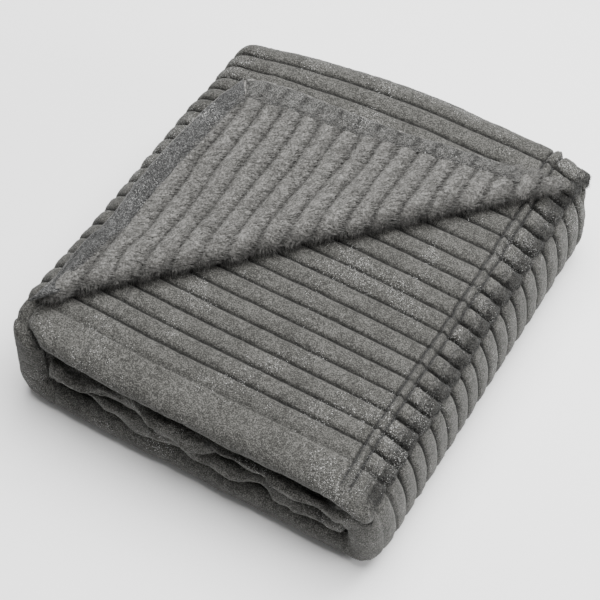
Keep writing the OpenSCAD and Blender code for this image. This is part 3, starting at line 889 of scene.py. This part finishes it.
SPEC = [
    # name, run, step, line, rounded ends, gain, replaced nodes
    ("top_face_cloth", run_top, 3.0, "a", True, False, gain_a, ["top_face_ply", "top_outer_back_loop", "top_face_side_hem"]),
    ("top_second_cloth", run_top, 2.4, "b", True, False, gain_b, ["top_second_ply", "top_inner_back_loop", "top_second_front_hem", "top_second_side_hem"]),
    ("top_lower_cloth", run_toplow, 3.4, "dc", True, False, gain_dc, ["top_third_ply", "top_fourth_ply", "top_front_loop", "top_lower_side_hem"]),
    ("left_upper_face_cloth", run_up, 2.2, "a", False, False, gain_a, ["left_face_ply", "left_outer_back_loop"]),
    ("left_upper_second_cloth", run_up, 3.6, "b", False, False, gain_b, ["left_second_ply", "left_inner_back_loop"]),
    ("left_upper_inner_cloth", run_up, 3.6, "dc", False, False, gain_dc, ["left_third_ply", "left_fourth_ply", "left_front_loop"]),
    ("left_lower_face_cloth", run_low, 2.2, "a", False, False, gain_a, ["left_face_ply", "left_outer_back_loop", "left_face_front_hem"]),
    ("left_lower_second_cloth", run_low, 3.8, "b", False, False, gain_b, ["left_second_ply", "left_inner_back_loop", "left_second_front_hem"]),
    ("left_lower_inner_cloth", run_low, 3.8, "dc", False, False, gain_dc, ["left_third_ply", "left_fourth_ply", "left_front_loop"]),
    ("wrap_face_cloth", run_wrap, 5.2, "a", False, True, gain_a, ["wrap_face_ply", "wrap_outer_back_loop", "wrap_face_front_hem", "wrap_end_hem"]),
    ("wrap_second_cloth", run_wrap, 8.0, "b", False, True, gain_b, ["wrap_second_ply", "wrap_inner_back_loop", "wrap_second_front_hem"]),
    ("wrap_inner_cloth", run_wrap, 7.6, "dc", False, True, gain_dc, ["wrap_third_ply", "wrap_fourth_ply", "wrap_front_loop"]),
]
PILE = {"top_face_cloth": (10000, 2.2), "top_second_cloth": (16000, 2.2), "left_upper_face_cloth": (7500, 2.4), "left_lower_face_cloth": (6000, 2.4), "wrap_face_cloth": (16000, 2.4)}
for name, run, ds, which, e0, e1, gain, nodes_ in SPEC:
    line = {"a": line_a(run, ds), "b": line_b(name), "dc": line_dc()}[which]
    ob = ribbon(name, run, ds, line, end0=e0, end1=e1, rib_gain=gain, mats=(FACE,),
                extra={"top_second_cloth": seam_b, "top_face_cloth": seam_a}.get(name, crumple if run is run_wrap else None),
                x_shift=(tip_edge if which == "a" else hem_edge) if run is run_top else None)
    made[name] = ob
    parts = [ob]
    if name in PILE:
        cnt, ln_f = PILE[name]
        A_ = RINGS[name][0]
        up_n = grid_normals(A_)
        sgn = 1.0 if vol_sign[name] > 0 else -1.0
        G_ = GROOVE[name]
        fb = fibres(name.replace("_cloth", "_pile"), A_ if sgn > 0 else A_[:, ::-1], cnt, ln_f, 0.15, (0.25, -0.35, -0.15), FACE, 500 + len(made), rib=G_ if sgn > 0 else G_[:, ::-1])
        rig.slot(fb, "plush_face")
        parts.append(fb)
    for p in parts:
        if run is run_up:
            up_blend(p)
        elif run is run_low:
            low_blend(p)
        else:
            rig.ride(p, "wrap" if run is run_wrap else "top_third")
    if nodes_:
        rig.replaces(ob, *nodes_)
    declare(ob, [], with_=parts[1:])


# ------------------------------------------------------------------ hem tufts on the top third
def strip_fibres(src, name, s0, s1, y0, y1, count, length, r, lean, mat, seed, up, shade, tone):
    A, _, U, Y, Sb = RINGS[src]
    keep = ((Sb > s0) & (Sb < s1) & (Y > y0) & (Y < y1)).astype(float)
    rows = np.where(keep.any(1))[0]
    sl = slice(max(rows[0] - 1, 0), rows[-1] + 2)
    g = np.clip(GROOVE[src][sl] * 0 + shade, 0, 1)
    A_, k_ = A[sl], keep[sl]
    if vol_sign[src] <= 0:
        A_, k_, g = A_[:, ::-1], k_[:, ::-1], g[:, ::-1]
    ob = fibres(name, A_, count, length, r, lean, mat, seed, keep=k_, up=up, rib=g, stray=0.2, swirl=0.6, tone=tone)
    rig.ride(ob, "top_third")
    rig.slot(ob, "hem_plush")
    return ob


S00 = LEN["top"][0]
# painted shadow: the tufts along the hem's free edge are darkened (shade 0.3) for the shadow under the hem; the fringe
# (0.95) and the tip tufts (0.6) are darkened less
dark_tufts = strip_fibres("top_second_cloth", "top_hem_tufts", S00 - 6, S00 + 7, YF + 10, YBK - 4, 7000, 6.0, 0.3, (0.7, -0.35, -0.9), HEM, 701, 0.55, 0.3, 0.55)
fringe = strip_fibres("top_second_cloth", "top_hem_fringe", SEAM_S - 19.5, SEAM_S - 15.5, YF + 8, YBK - 4, 4200, 3.6, 0.24, (0.5, -0.2, 0.2), HEM, 702, 0.8, 0.95, 0.3)
tip_tufts = strip_fibres("top_face_cloth", "top_tip_tufts", S00 - 6, S00 + 3, 150, YB + 12, 1600, 5.5, 0.26, (1.0, 0.0, -0.35), HEM, 703, 0.3, 0.6, 0.4)

# ------------------------------------------------------------------ the turned-back corner
NL = math.hypot(1, DS)
NX, NYN = -DS / NL, 1 / NL                               # across the fold, towards the corner
DXX, DYY = 1 / NL, DS / NL                               # along the fold
LEFT_XY = np.array([(-176, -180), (-170, -170), (-163, -142), (-163, -104), (-157, -61), (-157, -11), (-154, 32), (-148, 72), (-143, 100), (-137, 119), (-127, 128)], float)
BACK_XY = np.array([(164, 167), (152, 161), (107, 155.5), (61, 149), (16, 142), (-33.5, 138.5), (-83, 135.5), (-110, 132.5), (-127, 128)], float)


def n_of(x, y):
    return (y - DS * x - DY) / NL


def d_of(x, y):
    return (x + DS * (y - DY)) / NL                       # distance along the fold from (0, DY)


def smooth_curve(P, m=400):
    P = np.asarray(P, float)
    s = np.concatenate([[0], np.cumsum(np.hypot(*np.diff(P, axis=0).T))])
    t = np.linspace(0, s[-1], m)
    Q = np.stack([np.interp(t, s, P[:, j]) for j in (0, 1)], 1)
    kern = np.hanning(31); kern /= kern.sum()
    pad = 15
    E = np.concatenate([Q[:1] * 2 - Q[pad:0:-1], Q, Q[-1:] * 2 - Q[-2:-pad - 2:-1]])
    return np.stack([np.convolve(E[:, j], kern, "valid") for j in (0, 1)], 1)


LC, BC = smooth_curve(LEFT_XY), smooth_curve(BACK_XY)
N_END = min(n_of(*LC[-1]), n_of(*BC[-1]))
ln_, ld_ = n_of(LC[:, 0], LC[:, 1]), d_of(LC[:, 0], LC[:, 1])
bn_, bd_ = n_of(BC[:, 0], BC[:, 1]), d_of(BC[:, 0], BC[:, 1])
RC, ZC, RR = 12.6, 130.2, 7.9                            # roll centre across the fold, height, centreline radius


def d_left(n):
    o = np.argsort(ln_)
    return np.interp(n, ln_[o], ld_[o])


def d_right(n):
    o = np.argsort(bn_)
    return np.interp(n, bn_[o], bd_[o])


def lay(x, y):
    """Height of the flap's centreline over the table away from the roll."""
    low = 1.6 * vnoise(x / 70, y / 70, 0, 41) + 0.8 * vnoise(x / 30, y / 30, 0, 42)
    return 131.2 + low * 0.5 - 3.0 * sstep(x, 60, 150)


FLAT = {}


def flap():
    prof = []                                            # (n, z offset rule, arc)
    # lower lip, round the roll, then out over the flap
    lip = [(RC + 3.0 - i * 1.0, ZC - RR) for i in range(3)]
    ring = [(RC - RR * math.sin(a), ZC - RR * math.cos(a)) for a in np.linspace(0, math.pi, 26)]
    pn = np.array([p[0] for p in lip + ring])
    pz = np.array([p[1] for p in lip + ring])
    nn = np.concatenate([pn, np.linspace(RC + 1.6, N_END - 0.8, 104)])
    flat = np.arange(len(nn)) >= len(pn)
    k = len(nn)
    arcs = np.concatenate([[0], np.cumsum(np.hypot(np.diff(nn), np.concatenate([np.diff(pz), np.zeros(k - len(pn))])))])
    arcs -= arcs[len(pn) - 1]                            # 0 where the roll meets the flap
    m = 250
    f = np.linspace(0, 1, m)
    f = f + 0.0
    dl = d_left(np.maximum(nn, 1.0)); dr = d_right(np.maximum(nn, 1.0))
    D = dl[:, None] + (dr - dl)[:, None] * f[None, :]
    N = np.broadcast_to(nn[:, None], D.shape).copy()
    # the roll isn't quite straight
    X = D * DXX + N * NX
    Y = D * DYY + N * NYN + DY
    zf = lay(X, Y)
    # from the roll's top down to the flap
    top = ZC + RR
    w = sstep(N, RC, RC + 46)
    Zr = np.broadcast_to(np.concatenate([pz, np.full(k - len(pn), top)])[:, None], D.shape)
    Z = np.where(flat[:, None], top + (zf - top) * w, Zr)
    rise = 1.1 * vnoise(D / 46, 0, 0, 43) + 0.7 * vnoise(D / 17, 0, 0, 44)
    ringw = np.where(flat[:, None], 1 - w, np.clip((Zr - (ZC - RR)) / (2 * RR), 0, 1))
    Z = Z + rise * ringw
    sh = (1.5 * vnoise(D / 58, 0, 3, 45) + 0.9 * vnoise(D / 21, 0, 3, 46)) * np.where(flat[:, None], 0, np.sin(np.clip((Zr - (ZC - RR)) / (2 * RR), 0, 1) * math.pi))
    X = X + sh * NX
    Y = Y + sh * NYN
    # both ends of the roll sag
    endw = sstep(-np.minimum(D - dl[:, None], (dr - dl)[:, None] - (D - dl[:, None])), -26, 0)
    Z = Z - endw * ringw * 5.0
    # rib coordinate: the reverse's ribs run along the row frame's y after the turn
    AU = D * DXX + (RC + arcs)[:, None] * NX
    # flat size of the cloth the flap is made of: along the fold, and square to it round the roll
    wide = (dr - dl) * 0.001
    FLAT.update(length=float(wide.max()), depth=float(arcs[-1] - arcs[0]) * 0.001, area=float((0.5 * (wide[1:] + wide[:-1]) * np.diff(arcs)).sum()) * 0.001)
    P = np.stack([X, Y, Z], -1)
    # normals of the centreline sheet
    dN = np.gradient(P, axis=0); dD = np.gradient(P, axis=1)
    nv = np.cross(dD, dN)
    nv /= np.linalg.norm(nv, axis=-1, keepdims=True) + 1e-9
    if nv[-20, m // 2, 2] < 0:
        nv = -nv
    rh = 3.4 * (np.abs(np.sin((AU + 2.2 * vnoise(X / 30, Y / 30, 0, 50) - Y0) / PITCH * math.pi)) ** 0.6 - 1)
    soft = 0.5 * vnoise(X / 12, Y / 18, Z / 12, 47) + 0.4 * vnoise(X / 4.5, Y / 9, Z / 4.5, 48) + 0.28 * vnoise(X / 2.0, Y / 5, Z / 2.0, 49)
    dist = np.minimum(D - dl[:, None], (dr - dl)[:, None] - (D - dl[:, None])) * 0.75
    dist = np.minimum(dist, (N_END - N) + 1.0)
    dist = np.where(flat[:, None], dist, np.minimum(dist, arcs[:, None] - arcs[0] + 0.4))
    half = THK / 2
    er = np.sqrt(np.clip(1 - (1 - np.clip(dist / half, 0, 1)) ** 2, 0.004, 1))
    A = P + nv * ((half + rh + soft) * er)[..., None]
    B = P - nv * ((half + 0.5 * rh) * er)[..., None]
    return A, B, AU, N, D, nv, dist


FA, FB, FU, FN, FD, FNV, FDI = flap()


def shell(name, A, B, attrs, mats, under=None):
    n, m = A.shape[:2]
    verts = np.concatenate([A.reshape(-1, 3), B.reshape(-1, 3)])
    idx = np.arange(n * m).reshape(n, m)
    jdx = idx + n * m
    q = lambda a, b, c, d: np.stack([a.ravel(), b.ravel(), c.ravel(), d.ravel()], 1)
    faces = np.concatenate([
        q(idx[:-1, :-1], idx[:-1, 1:], idx[1:, 1:], idx[1:, :-1]),
        q(jdx[:-1, :-1], jdx[1:, :-1], jdx[1:, 1:], jdx[:-1, 1:]),
        q(idx[0, :-1], jdx[0, :-1], jdx[0, 1:], idx[0, 1:]),
        q(idx[-1, 1:], jdx[-1, 1:], jdx[-1, :-1], idx[-1, :-1]),
        q(idx[:-1, 0], idx[1:, 0], jdx[1:, 0], jdx[:-1, 0]),
        q(idx[1:, -1], idx[:-1, -1], jdx[:-1, -1], jdx[1:, -1])])
    at = {k: np.concatenate([v.ravel(), v.ravel()]) for k, v in attrs.items()}
    mi = None
    if under is not None:
        mi = np.zeros(len(faces), int)
        k = (n - 1) * (m - 1)
        mi[k:2 * k] = 1
        mats = (*mats, under)
    ob = make(name, verts, faces, at, mats, mi)
    ob.data.calc_loop_triangles()
    if sum_volume(ob.data) < 0:
        ob.data.flip_normals()
    ar = float(np.linalg.norm(np.cross(P_d(A, 0), P_d(A, 1)), axis=-1).sum()) * 1e-6
    ob["flat_area"] = ar
    return ob


def corner_blend(ob):
    n0, z0 = 6.0, 128.0
    g = np.array([0.15 * NX, 0.15 * NYN, 1.0])
    base = np.array([NX * 12, NYN * 12 + DY, 130.0])
    q = lambda p: base + g * (p - (base[2] + 0.15 * n_of(base[0], base[1]))) / float(g @ g)
    a, b = q(128.0), q(134.9)
    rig.blend(ob, "top_third", "corner", start=tuple(a * .001), end=tuple(b * .001))


# rib attribute: painted shade, darker in the grooves between the reverse's ribs
flapob = shell("corner_cloth", FA, FB, {"rib": np.abs(np.sin((FU + 2.2 * vnoise(FA[..., 0] / 30, FA[..., 1] / 30, 0, 50) - Y0) / PITCH * math.pi)) ** 0.6}, (BACK,), under=FACE)
corner_blend(flapob)
_gn = grid_normals(FA)
FS = FA if _gn[80, 120, 2] > 0 else FA[:, ::-1]
# the same painted groove shade for the fibres on the flap
FG = np.abs(np.sin((FU + 2.2 * vnoise(FA[..., 0] / 30, FA[..., 1] / 30, 0, 50) - Y0) / PITCH * math.pi)) ** 0.6
if FS is not FA:
    FG = FG[:, ::-1]
_free = np.where(np.arange(FA.shape[0])[:, None] < 40, 1.0, (FDI > 18.5).astype(float))
if FS is not FA:
    _free = _free[:, ::-1]
lay_pile = fibres("corner_pile", FS, 24000, 7.5, 0.25, (0.75, 0.62, 0.0), BACK, 610, keep=_free, up=0.2, rib=FG, stray=0.11, swirl=0.34, tone=0.3)
_edge = np.zeros(FS.shape[:2]); _edge[1:16] = 1.0
tufts = fibres("corner_edge_tufts", FS, 4200, 7.5, 0.27, (0.35, -0.75, -0.55), BACK, 620, keep=_edge, up=0.35, rib=FG)
for p in (lay_pile, tufts):
    corner_blend(p)
    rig.slot(p, "plush_back")
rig.replaces(flapob, "corner_flap", "corner_fold_roll")
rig.slot(flapob, "plush_back")
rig.sheet(flapob, flat=(FLAT["length"], FLAT["depth"]), held="folded", rests_on=["top_second_cloth"], area=FLAT["area"], with_pieces=[lay_pile, tufts])


def flap_top(x, y):
    """Height of the flap's upper face, from its own mesh."""
    q = FA[29:, :, :].reshape(-1, 3)
    from mathutils import kdtree
    global _kd
    if "_kd" not in globals():
        _kd = kdtree.KDTree(len(q))
        for i, p in enumerate(q):
            _kd.insert((p[0], p[1], 0), i)
        _kd.balance()
        globals()["_kq"] = q
    out = np.empty(np.shape(x))
    for i, (a, b) in enumerate(zip(np.ravel(x), np.ravel(y))):
        r = _kd.find_n((a, b, 0), 3)
        out.flat[i] = float(np.mean([_kq[j[1]][2] for j in r]))
    return out


def hem_strip(name, outer, inner, n, along_x, replaced, seed, puffy=1.0, mat=None):
    """A hem turned under and stitched: its own raised strip along the flap's edge."""
    tt = np.linspace(0, 1, n)
    so = smooth_curve(outer); si = smooth_curve(inner)
    oi = np.stack([np.interp(tt, np.linspace(0, 1, len(so)), so[:, j]) for j in (0, 1)], 1)
    ii = np.stack([np.interp(tt, np.linspace(0, 1, len(si)), si[:, j]) for j in (0, 1)], 1)
    c = np.linspace(0, 1, 17)
    X = oi[:, :1] + (ii - oi)[:, :1] * c
    Y = oi[:, 1:] + (ii - oi)[:, 1:] * c
    U = X if along_x else Y
    # scalloped outer edge
    P = PITCH if along_x else PITCH * 0.8
    d = np.abs((U / P) - np.round(U / P)) * 2
    puff = 0.75 + puffy * (np.sqrt(np.clip(d, 0, 1)) - 0.75)
    out = oi - ii
    out = out / np.linalg.norm(out, axis=1, keepdims=True)
    push = (1.8 * puff - 0.6 + 0.8 * vnoise(X / 7, Y / 7, 0, seed)) * (1 - c)[None, :] ** 2
    X = X + out[:, :1] * push
    Y = Y + out[:, 1:] * push
    Z0 = flap_top(X, Y)
    # smooth along the strip
    for _ in range(3):
        Z0[1:-1] = (Z0[:-2] + Z0[1:-1] * 2 + Z0[2:]) / 4
    dome = np.sqrt(np.clip(1 - (2 * np.clip(c, 0.0, 1) - 1) ** 2, 0, 1)) ** 0.75
    dome = dome[None, :]
    pulled = 1 - 0.5 * np.exp(-((c - 0.86) / 0.07) ** 2)[None, :]
    h = dome * (0.7 + 1.2 * puff + 0.5 * vnoise(X / 6, Y / 6, 0, seed + 1) + 0.3 * vnoise(X / 2.4, Y / 2.4, 0, seed + 2)) * pulled
    e = np.minimum(tt, 1 - tt)[:, None] * n
    h = h * np.sqrt(np.clip(e / 5, 0.02, 1))
    drop = -3.6 * (1 - np.minimum(c / 0.22, 1))[None, :] ** 1.4
    A = np.stack([X, Y, Z0 + h + drop], -1)
    B = np.stack([X + 0 * X, Y, Z0 + drop - 0.8 - 4.0 * dome * (1 - c) ** 0.5], -1)
    # rib attribute: painted shade, darker between the scallops where the strip dips
    ob = shell(name, A, B, {"rib": np.clip(puff, 0, 1)}, (mat or HEM,))
    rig.ride(ob, "corner")
    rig.replaces(ob, *replaced)
    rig.slot(ob, "hem_plush")
    ob["L"] = float(np.hypot(*np.diff(oi, axis=0).T).sum()) * .001
    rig.sheet(ob, flat=(ob["L"], 0.024), held="folded", rests_on=["corner_cloth"], area=ob["L"] * 0.024)
    return ob, A


L_OUT = [(-171, -168), (-165, -142), (-164.5, -104), (-158, -61), (-158, -11), (-155, 32), (-149, 72), (-143, 104), (-136, 124)]
L_IN = [(-152, -150), (-146, -123), (-141, -91), (-138, -66), (-138.5, -40), (-136, -11), (-132.5, 16), (-129, 51), (-124.5, 88), (-120, 104)]
B_OUT = [(-134, 127), (-110, 134), (-83, 137), (-33.5, 140), (16, 143), (61, 150), (107, 157), (146, 161.5)]
B_IN = [(-121, 106), (-101, 107), (-71, 113), (-39, 114.5), (-11, 118), (24, 126), (60, 131), (98, 135.5), (134, 139)]
left_hem, LHA = hem_strip("corner_front_hem_cloth", L_OUT, L_IN, 150, False, ["corner_front_hem"], 61, puffy=0.15, mat=SILVER)
back_hem, BHA = hem_strip("corner_side_hem_cloth", B_OUT, B_IN, 150, True, ["corner_side_hem"], 71)


# ------------------------------------------------------------------ stitches
def capsules(name, segs, r, mat, body, replaced=()):
    """Each stitch is one closed little thread."""
    ring = 6
    V, F = [], []
    for a, b in segs:
        a, b = np.asarray(a, float), np.asarray(b, float)
        d = b - a
        L = np.linalg.norm(d)
        if L < 1e-6:
            continue
        d /= L
        u = np.cross(d, (0, 0, 1)); u /= np.linalg.norm(u) + 1e-9
        w = np.cross(d, u)
        base = len(V)
        prof = [(-0.5 * r, 0.45), (0.25 * r, 0.95), (L / 2, 1.08), (L - 0.25 * r, 0.95), (L + 0.5 * r, 0.45)]
        for t, q in prof:
            for i in range(ring):
                an = 2 * math.pi * i / ring
                V.append(a + d * t + (u * math.cos(an) + w * math.sin(an)) * r * q)
        V.append(a - d * 0.7 * r); V.append(b + d * 0.7 * r)
        p0, p1 = len(V) - 2, len(V) - 1
        for j in range(len(prof) - 1):
            for i in range(ring):
                i2 = (i + 1) % ring
                F.append((base + j * ring + i, base + j * ring + i2, base + (j + 1) * ring + i2, base + (j + 1) * ring + i))
        for i in range(ring):
            i2 = (i + 1) % ring
            F.append((p0, base + i2, base + i, p0))
            e = base + (len(prof) - 1) * ring
            F.append((p1, e + i, e + i2, p1))
    me = bpy.data.meshes.new(name)
    me.from_pydata([tuple(v * .001) for v in V], [], [tuple(dict.fromkeys(f)) for f in F])
    me.update()
    me.polygons.foreach_set("use_smooth", np.ones(len(me.polygons), bool))
    me.materials.append(mat)
    ob = bpy.data.objects.new(name, me)
    bpy.context.scene.collection.objects.link(ob)
    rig.ride(ob, body)
    if replaced:
        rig.replaces(ob, *replaced)
    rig.slot(ob, "thread")
    return ob


def stitch_path(P, length, gap, lift=0.0, zig=0.0, nrm=None):
    """Stitches laid along a polyline of points."""
    P = np.asarray(P, float)
    s = np.concatenate([[0], np.cumsum(np.linalg.norm(np.diff(P, axis=0), axis=1))])
    segs = []
    t = 2.0
    i = 0
    while t + length < s[-1]:
        a = np.array([np.interp(t, s, P[:, j]) for j in range(3)])
        b = np.array([np.interp(t + length, s, P[:, j]) for j in range(3)])
        if zig:
            d = (b - a) / (np.linalg.norm(b - a) + 1e-9)
            w = np.array([-d[1], d[0], 0])
            sg = 1 if i % 2 else -1
            a = a - w * zig * sg; b = b + w * zig * sg
        a[2] += lift; b[2] += lift
        segs.append((a, b))
        t += length + gap
        i += 1
    return segs


segs = stitch_path(LHA[:, 14], 3.4, 0.2, lift=0.25, zig=1.5) + stitch_path(BHA[:, 14], 3.4, 0.4, lift=0.2, zig=1.3)
capsules("corner_stitches", segs, 0.42, THREAD, "corner", ["corner_hem_stitching"])


def seam_line(src, off, y0, y1):
    A, _, U, Y, Sb = RINGS[src]
    P = []
    for j in range(A.shape[1]):
        if not (y0 < Y[0, j] < y1) or (j and Y[0, j] < Y[0, j - 1]):
            continue
        target = SEAM_S + 1.5 * float(vnoise(Y[0, j] / 60, 0, 0, 31)) + 0.5 * float(vnoise(Y[0, j] / 9, 0, 0, 32)) + off
        P.append([np.interp(target, Sb[:, j], A[:, j, q]) for q in range(3)])
    return P


segs = []
for src, y0, y1 in (("top_second_cloth", YF + 12, 150), ("top_face_cloth", 168, YBK - 1)):
    for off in (-4.3, 4.3):
        segs += stitch_path(seam_line(src, off, y0, y1), 3.6, 1.3, lift=0.1)
capsules("side_hem_stitches", segs, 0.5, THREAD, "top_third", ["side_hem_stitching"])


# ------------------------------------------------------------------ ground, light, camera
def plain(name, rgb, rough=0.9):
    m = bpy.data.materials.new(name)
    m.use_nodes = True
    b = m.node_tree.nodes["Principled BSDF"]
    b.inputs["Base Color"].default_value = (*rgb, 1)
    b.inputs["Roughness"].default_value = rough
    b.inputs["Specular IOR Level"].default_value = 0.1
    return m


bpy.ops.mesh.primitive_plane_add(size=9, location=(0, 0, -0.0004))
floor = bpy.context.object
floor.name = "floor"
floor.data.materials.append(plain("floor_white", (0.93, 0.93, 0.93)))
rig.stage(floor)

world = bpy.data.worlds.new("soft_white")
bpy.context.scene.world = world
world.use_nodes = True
world.node_tree.nodes["Background"].inputs[0].default_value = (1.0, 1.0, 1.0, 1)
world.node_tree.nodes["Background"].inputs[1].default_value = 0.24


def area_light(name, loc, target, size, power):
    L = bpy.data.lights.new(name, "AREA")
    L.shape = "DISK"; L.size = size; L.energy = power
    ob = bpy.data.objects.new(name, L)
    ob.location = loc
    d = np.array(target) - np.array(loc)
    from mathutils import Vector
    ob.rotation_euler = Vector(d).to_track_quat("-Z", "Y").to_euler()
    bpy.context.scene.collection.objects.link(ob)
    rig.stage(ob)
    return ob


area_light("overhead", (0.15, 0.45, 2.5), (0, 0, 0), 2.4, 185)
area_light("key", (0.75, 1.35, 1.7), (0, 0, 0.05), 0.8, 30)
area_light("side", (1.9, 0.25, 0.9), (0, 0, 0.05), 0.9, 24)

az, el, roll = math.radians(32.70), math.radians(57.54), math.radians(-2.41)
tgt = np.array([24.8, -46.4, 117.3]) * .001
bk = np.array([math.sin(az) * math.cos(el), -math.cos(az) * math.cos(el), math.sin(el)])
fw = -bk
right = np.cross(fw, (0, 0, 1)); right /= np.linalg.norm(right)
up = np.cross(right, fw)
R = math.cos(roll) * right + math.sin(roll) * up
U_ = -math.sin(roll) * right + math.cos(roll) * up
from mathutils import Matrix
cam_d = bpy.data.cameras.new("camera")
cam_d.lens, cam_d.sensor_width = 140.15, 36.0
cam = bpy.data.objects.new("camera", cam_d)
loc = tgt + bk * 1.9965
M = Matrix(((R[0], U_[0], bk[0], loc[0]), (R[1], U_[1], bk[1], loc[1]), (R[2], U_[2], bk[2], loc[2]), (0, 0, 0, 1)))
cam.matrix_world = M
bpy.context.scene.collection.objects.link(cam)
bpy.context.scene.camera = cam
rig.stage(cam)

lo, hi = [list(map(float, v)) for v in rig.bounds()]
with open("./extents.json", "w") as fh:
    json.dump({"cad": [CAD_LO, CAD_HI], "visual": [lo, hi]}, fh)
